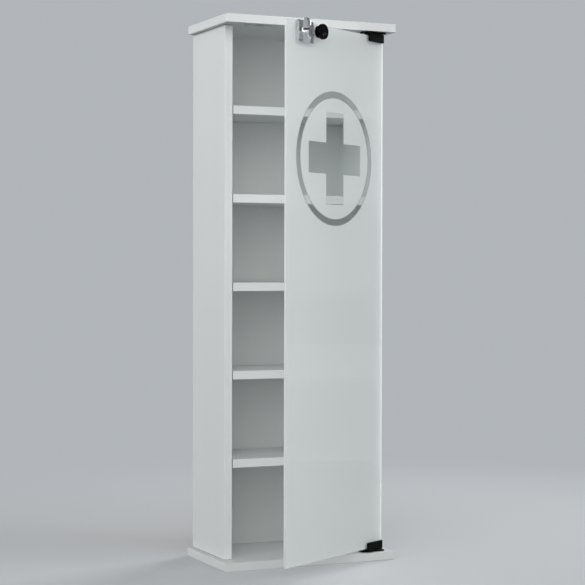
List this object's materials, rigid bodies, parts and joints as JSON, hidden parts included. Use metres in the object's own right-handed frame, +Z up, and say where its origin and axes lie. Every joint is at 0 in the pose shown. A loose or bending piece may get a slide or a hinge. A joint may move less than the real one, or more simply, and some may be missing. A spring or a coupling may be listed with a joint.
{
  "type": "medicine_cabinet",
  "caption": "tall white medicine cabinet with shelves and a lockable frosted glass door with a clear cross in a ring",
  "frame": {"origin": "centre of the underside of the base board, where the cabinet stands on the floor", "axes": "+Z up; the door side faces -Y; +X is to the right seen from the front, the side on which the door is hinged"},
  "size_m": [0.35, 0.339, 1.03],
  "materials": {
    "coated_board": "white melamine coated particle board, satin",
    "thin_board": "thin hardboard, white lacquer inside",
    "frosted_glass": "toughened glass, satin etched at the back, clear cross and ring",
    "black_metal": "black powder coat, satin",
    "chrome_plate": "bright chrome plate",
    "zinc_plate": "bright zinc plate",
    "black_plastic": "moulded, glossy",
    "clear_plastic": "soft clear plastic",
    "black_rubber": "thin rubber channel",
    "nylon": "natural nylon",
    "beech": "fluted dowel wood"
  },
  "bodies": {
    "cabinet": {"top_panel": "coated_board", "base_panel": "coated_board", "left_side_panel": "coated_board", "right_side_panel": "coated_board", "back_panel": "thin_board", "shelf_1": "coated_board", "shelf_2": "coated_board", "shelf_3": "coated_board", "shelf_4": "coated_board", "shelf_5": "coated_board", "shelf_pegs": "zinc_plate", "cam_bolts": "zinc_plate", "cam_locks": "zinc_plate", "dowels": "beech", "back_nails": "zinc_plate", "wall_brackets": "zinc_plate", "bracket_screws": "zinc_plate", "strike_plate": "zinc_plate", "strike_screws": "zinc_plate", "top_hinge_plate": "black_metal", "bottom_hinge_plate": "black_metal", "hinge_plate_screws": "black_metal"},
    "door": {"glass_door": "frosted_glass", "top_hinge_clamp": "black_metal", "bottom_hinge_clamp": "black_metal", "hinge_clamp_liners": "black_rubber", "hinge_bushes": "nylon", "hinge_clamp_screws": "black_metal", "lock_body": "chrome_plate", "lock_back_plate": "zinc_plate", "lock_plate_screws": "zinc_plate", "lock_liner": "black_rubber", "lock_grub_screws": "zinc_plate", "cylinder_retaining_pin": "zinc_plate", "door_knob": "black_plastic", "knob_screw": "zinc_plate", "knob_washers": "clear_plastic"},
    "cylinder": {"lock_cylinder": "chrome_plate"},
    "bolt": {"lock_bolt": "zinc_plate"}
  },
  "joints": [
    {"name": "door_hinge", "type": "hinge", "parent": "cabinet", "child": "door", "pos_m": [0.146, -0.082, 0.515], "axis": [0, 0, 1], "range_deg": [-30.5, 79.5]},
    {"name": "key_turn", "type": "hinge", "parent": "door", "child": "cylinder", "pos_m": [-0.069, -0.21155, 0.985], "axis": [0.5075, -0.8616, 0], "range_deg": [0, 90]},
    {"name": "bolt_throw", "type": "slide", "parent": "door", "child": "bolt", "axis": [0, 0, 1], "range_m": [0, 0.0065]}
  ],
  "couplings": [
    {"joint": "bolt_throw", "follows": "key_turn", "m_per_rad": 0.004138}
  ]
}
